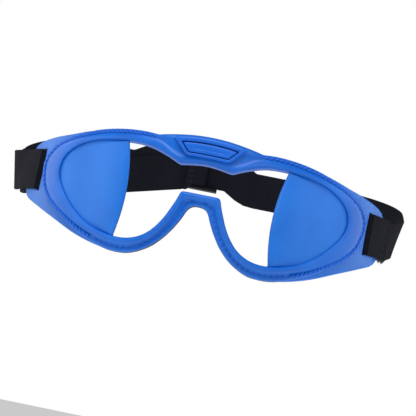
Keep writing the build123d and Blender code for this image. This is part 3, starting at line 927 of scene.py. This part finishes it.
class Path:
    """One side of the strap seen from above, measured from just past the wing."""

    def __init__(self, start_r, inset=0.0):
        self.r = start_r
        self.angle = math.asin(START_X / start_r)
        start = Vector((START_X, FACE_AXIS_Y - start_r * math.cos(self.angle)))
        fold_r, corner_r = FOLD_R - inset, REAR_CORNER_R - inset
        reach = fold_r * (math.sin(SIDE_ANGLE) - math.sin(self.angle))
        leave = (SIDE_X - inset - START_X - reach) / math.cos(self.angle)
        after_fold = (start + heading(self.angle) * leave + left_of(self.angle) * fold_r
                      - left_of(SIDE_ANGLE) * fold_r)
        to_corner = REAR_Y - inset - corner_r * (math.cos(SIDE_ANGLE) + 1) - after_fold.y
        run = to_corner / math.sin(SIDE_ANGLE)
        self.parts = [(leave, 0.0), (fold_r * (SIDE_ANGLE - self.angle), fold_r), (run, 0.0),
                      (corner_r * (math.pi - SIDE_ANGLE), corner_r)]
        self.start = start
        corner_end = self.at(sum(length for length, _ in self.parts))[0]
        self.parts.append((corner_end.x, 0.0))
        self.length = sum(length for length, _ in self.parts)
        self.outward = 1 if start_r > SLOT_MIDDLE_R else -1
        self.wing = start_r * (self.angle - SLOT_ANGLE) - BEND_R
        self.first = -self.wing - BEND_R * math.pi / 2 - abs(start_r - SLOT_MIDDLE_R) + BEND_R

    def on_wing(self, back):
        """On the wing, and down through its slot, for a distance before the start."""
        angle = self.angle - min(back, self.wing) / self.r
        tangent, out = heading(angle), -left_of(angle)
        point = Vector((0, FACE_AXIS_Y)) + out * self.r
        over = back - self.wing
        if over > 0:
            turn = min(over / BEND_R, math.pi / 2)
            into = out * self.outward
            point = point - into * BEND_R + (into * math.cos(turn) - tangent * math.sin(turn)) * BEND_R
            point = point - into * max(0.0, over - BEND_R * math.pi / 2)
            tangent = tangent * math.cos(turn) + into * math.sin(turn)
        return point, tangent

    def at(self, travel):
        """Point and direction at a distance along the path."""
        if travel < 0:
            return self.on_wing(-travel)
        point, angle = self.start.copy(), self.angle
        for length, r in self.parts:
            part = min(travel, length)
            if r:
                centre = point + left_of(angle) * r
                angle += part / r
                point = centre - left_of(angle) * r
            else:
                point = point + heading(angle) * part
            travel -= part
            if travel <= 0:
                break
        return point, heading(angle)


def climb(travel, top, side):
    """Height along the side of the head, from the slot up to the top height."""
    share = math.sin(math.pi / 2 * min(max(travel, 0.0) / CLIMB, 1)) ** CLIMB_POWER[side]
    return SLOT_Z + (top - SLOT_Z) * share


def main_height(travel, x, side):
    """Height of the main run, which rises again to the slider."""
    if abs(x) > REAR_HALF:
        return climb(travel, REAR_Z, side)
    flat, edge = SLIDER_FLAT[side]
    return REAR_Z + (SLIDER_Z - REAR_Z) * smooth((edge - abs(x)) / (edge - flat))


def return_height(travel, x, side):
    """Height of the inner layer, which hangs lower until it nears the slider."""
    hung = REAR_Z - RETURN_DROP
    if abs(x) > REAR_HALF:
        return climb(travel, hung, side)
    end_z = SLIDER_Z - RETURN_END_DROP
    return end_z + (hung - end_z) * max(0.0, (abs(x) - LEVEL_END) / (REAR_HALF - LEVEL_END))


def station(path, travel, side, height):
    """Centre, across and through directions of the webbing at one place."""
    point, way = path.at(travel)
    back, ahead = travel - LOOK, min(travel + LOOK, path.length)
    rise = height(ahead, path.at(ahead)[0].x, side) - height(back, path.at(back)[0].x, side)
    slope = math.atan(rise / (ahead - back)) if travel > 0 else 0.0
    flat = Vector((way.x * side, way.y, 0))
    outward = Vector((way.y * side, -way.x, 0))
    up = Vector((0, 0, 1)) * math.cos(slope) - flat * math.sin(slope)
    lean = SIDE_LEAN * smooth(travel / LEAN_REACHED) * (1 - smooth((travel - LEAN_HELD) / LEAN_FADE))
    across = up * math.cos(lean) + outward * math.sin(lean)
    through = outward * math.cos(lean) - up * math.sin(lean)
    here = height(travel, point.x, side)
    shift = outward * (math.tan(lean) * (here - main_height(travel, point.x, side)))
    return Vector((point.x * side, point.y, here)) + shift, across, through


left_main, right_main = Path(FRONT_LAYER_R), Path(BACK_LAYER_R)
left_return = Path(BACK_LAYER_R, RETURN_INSET)
print("half loop lengths, mm", round(left_main.length, 1), round(right_main.length, 1))

# %% [markdown]
# The strap
# ---------
# The webbing is a flat oval with slightly fuller edges, stepped along its
# path. At each wing the strap is held by the wing and swings behind it, and
# the long middle piece follows the strap.

# %% The strap
EDGE_ROUND = [(-10.0, 0.0), (-9.9, 0.33), (-9.6, 0.52), (-9.0, 0.60), (-8.4, 0.56), (-4.5, 0.56),
              (0.0, 0.56), (4.5, 0.56), (8.4, 0.56), (9.0, 0.60), (9.6, 0.52), (9.9, 0.33)]
WEB_OVAL = EDGE_ROUND + [(-u, -v) for u, v in EDGE_ROUND]
STEP_LONGEST, STEP_SHORTEST, STEP_TURN, TURN_LEAST = 3.0, 0.35, 0.14, 0.04
END_TRIM = 0.75                                   # how much of its thickness a cut end keeps


def steps_between(path, low, high):
    """Close steps round the bends and longer steps on the straights."""
    travel, steps = low, [low]
    while travel < high - 0.3:
        _, way = path.at(travel)
        _, ahead = path.at(min(travel + 1.0, high))
        turn = way.angle(ahead)
        stride = max(STEP_SHORTEST, STEP_TURN / max(turn, TURN_LEAST))
        travel = min(travel + min(STEP_LONGEST, stride), high)
        steps.append(travel)
    return steps


def web_piece(name, places):
    """Webbing through (travel, centre, across, through) places."""
    rings, along, sideways = [], [], []
    for number, (travel, centre, across, through) in enumerate(places):
        trim = END_TRIM if number in (0, len(places) - 1) else 1.0
        rings.append([centre + across * u + through * (v * trim) for u, v in WEB_OVAL])
        along.append([travel] * len(WEB_OVAL))
        sideways.append([u for u, _ in WEB_OVAL])
    piece = ring_piece(name, rings, False, {"along": along, "across": sideways})
    return dress(piece, web_black, 50)


def side_places(path, side, height, low, high):
    """Stations of the webbing between two distances along a path."""
    return [(t, *station(path, t, side, height)) for t in steps_between(path, low, high)]


LEAD_END = 26.0
RETURN_STOP = left_return.length - 17.3           # the inner layer ends at the folded end
lead_left = web_piece("strap_lead_left",
                      side_places(left_main, -1, main_height, left_main.first, LEAD_END))
lead_right = web_piece("strap_lead_right",
                       side_places(right_main, 1, main_height, right_main.first, LEAD_END))
rear_left = side_places(left_main, -1, main_height, LEAD_END, left_main.length)
rear_right = side_places(right_main, 1, main_height, LEAD_END, right_main.length)
total = left_main.length + right_main.length
rear_right = [(total - t, c, a, o) for t, c, a, o in rear_right]
strap_rear = web_piece("strap_rear", rear_left + rear_right[-2::-1])
return_lead = web_piece("strap_inner_lead",
                        side_places(left_return, -1, return_height, left_return.first, LEAD_END))
return_rear = web_piece("strap_inner_rear",
                        side_places(left_return, -1, return_height, LEAD_END, RETURN_STOP))

BLEND_FROM, BLEND_TO = Vector((88.8, 46.0, SLOT_Z)), Vector((97.2, 60.0, SLOT_Z))
flip_x = Vector((-1, 1, 1))
for piece, side in ((lead_left, -1), (lead_right, 1), (return_lead, -1)):
    turn = flip_x if side < 0 else Vector((1, 1, 1))
    BLEND_FROM * turn * MM
    BLEND_TO * turn * MM
    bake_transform(piece)
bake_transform(return_rear)
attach(strap_rear, "strap")
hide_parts("strap_wrap_left")
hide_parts("strap_band")
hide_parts("strap_return")

# %% [markdown]
# The sewn end on the right wing
# ------------------------------
# On the right the webbing is not adjustable: its end passes through the slot,
# lies over the wing and is sewn to the strap behind. The cut end is sealed,
# so it is a little thicker and rounder than the rest, and two rows of stitches
# hold it.

# %% The sewn end on the right wing
END_X = 91.7
SEAL_PITCH, SEAL_THICKEN = 0.25, (1.1, 1.5, 1.5, 1.1)
end_places = side_places(left_main, 1, main_height, left_main.first, 0.0)
_, _, end_across, end_through = end_places[-1]
sealed = []
for step, thicken in enumerate(SEAL_THICKEN):
    x = END_X - SEAL_PITCH * (len(SEAL_THICKEN) - 1 - step)
    point = Vector(wrap(x, SLOT_Z, FRONT_LAYER_R))
    sealed.append((step * SEAL_PITCH, point, end_across, end_through * thicken))
sewn_end = web_piece("strap_sewn_end", end_places[:-2] + sealed)
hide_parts("strap_wrap_right")
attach(sewn_end, "frame")

CROSS_HEIGHTS = (-7.5, -4.5, -1.5, 1.5, 4.5, 7.5)
THREAD_LIFT = 0.62                                # a thread's centre, out from the webbing's
UPRIGHT = Vector((0, 0, 1))
cross_stitch = thread_stitch(2.2, 0.7)
end_rows = []
for x in (88.9, 89.9):
    for height in CROSS_HEIGHTS:
        point = Vector(wrap(x, SLOT_Z + height, FRONT_LAYER_R + THREAD_LIFT))
        end_rows.append((point, UPRIGHT, outward_at(point)))
sew("end_stitch", cross_stitch, end_rows, black_thread, "end_stitching", "frame")

# %% [markdown]
# Loose ends of thread
# --------------------
# Where the webbing was cut, a few threads stick out below the stitched end.
# They are the same stitch, set at uneven angles in a paler thread.

# %% Loose ends of thread
FRAY_LIFT = 0.3
#       across, up, turn
FRAY = ((88.4, -5.4, 0.3), (89.3, -5.7, -0.5), (90.3, -5.3, 0.1), (90.9, -5.6, -0.2), (91.4, -5.2, 0.6))
fray_places = []
for x, z, turn in FRAY:
    point = Vector(wrap(x, z, FRONT_LAYER_R + FRAY_LIFT))
    out = outward_at(point)
    fray_places.append((point, Matrix.Rotation(turn, 3, out) @ UPRIGHT, out))
fray_thread = thread("frayed_thread", (0.02, 0.02, 0.022), (0.10, 0.10, 0.10))
sew("frayed_thread", cross_stitch, fray_places, fray_thread, None, "frame")

# %% [markdown]
# Slider and folded end
# ---------------------
# The slider is a small moulded buckle with three bars. The main strap runs
# under its two outer bars, and the inner layer is folded round the middle bar
# and sewn to itself. The CAD model already has the buckle's shape, so it keeps
# that and only gets its finish. The folded end is one more run of webbing,
# bent round the bar.

# %% Slider and folded end
BAR_X, BAR_Y = -8.5, 147.3
LOOP_LEFT, LOOP_EASE, LOOP_STEPS = -17.6, 5.0, 40
FOLD_STITCH_Z = SLIDER_Z - 1.2
TURN_R = 1.75
FRONT_Y, BEHIND_Y = BAR_Y - TURN_R, BAR_Y + TURN_R


def loop_places():
    """From behind the bar, round it, and back in front, along X."""
    straight = BAR_X - LOOP_LEFT
    half_turn = math.pi * TURN_R
    places = []
    for k in range(LOOP_STEPS + 1):
        travel = (2 * straight + half_turn) * k / LOOP_STEPS
        if travel < straight:
            point, way = Vector((LOOP_LEFT + travel, BEHIND_Y, 0)), Vector((1, 0, 0))
        elif travel < straight + half_turn:
            a = (travel - straight) / TURN_R
            point = Vector((BAR_X + TURN_R * math.sin(a), BAR_Y + TURN_R * math.cos(a), 0))
            way = Vector((math.cos(a), -math.sin(a), 0))
        else:
            point = Vector((BAR_X - (travel - straight - half_turn), FRONT_Y, 0))
            way = Vector((-1, 0, 0))
        point.z = SLIDER_Z - RETURN_END_DROP * (1 - smooth((point.x - LOOP_LEFT) / LOOP_EASE))
        places.append((travel, point, UPRIGHT, Vector((-way.y, way.x, 0))))
    return places


slider_fold = web_piece("slider_fold", loop_places())
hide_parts("slider_loop")
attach(slider_fold, "slider_body")

fold_rows = []
for x in (-16.0, -14.4):
    for height in CROSS_HEIGHTS:
        point = Vector((x, FRONT_Y - THREAD_LIFT, FOLD_STITCH_Z + height))
        fold_rows.append((point, UPRIGHT, Vector((0, -1, 0))))
sew("fold_stitch", cross_stitch, fold_rows, black_thread, "loop_stitching", "slider_body")
for one in (cross_stitch, single_stitch):
    bpy.data.objects.remove(one)

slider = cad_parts["slider"]
slider.data.materials.clear()
slider.data.materials.append(buckle_black)
print("slider kept from the CAD model")

# %% [markdown]
# End
# ---
# This cell only prints that the model is built.

# %% End
print("model built")
